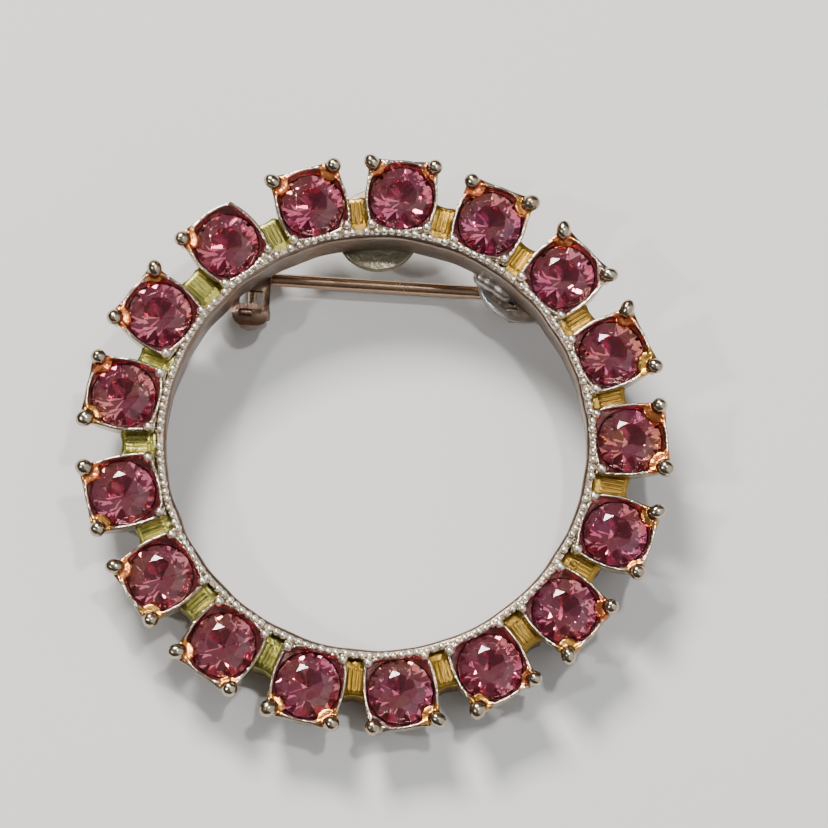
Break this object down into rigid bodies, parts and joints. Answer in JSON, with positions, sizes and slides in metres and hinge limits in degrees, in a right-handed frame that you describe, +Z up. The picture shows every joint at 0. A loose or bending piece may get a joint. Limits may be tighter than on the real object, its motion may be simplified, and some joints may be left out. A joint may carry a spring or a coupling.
{
  "type": "rhinestone brooch",
  "caption": "Round openwork brooch: a ring of square prong-set cups with faceted pink stones, beaded inside, with a hinged pin and a locking catch behind.",
  "frame": {"origin": "on the surface the brooch lies on, under the middle of its outline", "axes": "+Z up from the surface, +Y towards the top of the brooch, +X along the pin from its hinge to its point"},
  "size_m": [0.0374, 0.0368, 0.0091],
  "materials": {
    "ring_metal": "pale champagne plating over brass, bright, with darker recesses",
    "pink_glass": "clear rose-pink cut glass over a bright seat",
    "pin_metal": "smooth plated wire",
    "rivet_metal": "smooth plated wire",
    "lever_metal": "pale champagne plating over brass"
  },
  "bodies": {
    "brooch": {"setting_ring": "ring_metal", "stone_01": "pink_glass", "stone_02": "pink_glass", "stone_03": "pink_glass", "stone_04": "pink_glass", "stone_05": "pink_glass", "stone_06": "pink_glass", "stone_07": "pink_glass", "stone_08": "pink_glass", "stone_09": "pink_glass", "stone_10": "pink_glass", "stone_11": "pink_glass", "stone_12": "pink_glass", "stone_13": "pink_glass", "stone_14": "pink_glass", "stone_15": "pink_glass", "stone_16": "pink_glass", "stone_17": "pink_glass", "hinge_rivet": "rivet_metal"},
    "pin": {"pin_stem": "pin_metal"},
    "lever": {"catch_lever": "lever_metal"}
  },
  "joints": [
    {"name": "pin_swing", "type": "hinge", "parent": "brooch", "child": "pin", "pos_m": [-0.00858, 0.01211, 0.00152], "axis": [0, 0.993, 0.1177], "range_deg": [0, 95]},
    {"name": "catch_turn", "type": "hinge", "parent": "brooch", "child": "lever", "pos_m": [0.00875, 0.01211, 0.00152], "axis": [1, 0, 0], "range_deg": [0, 90]}
  ]
}
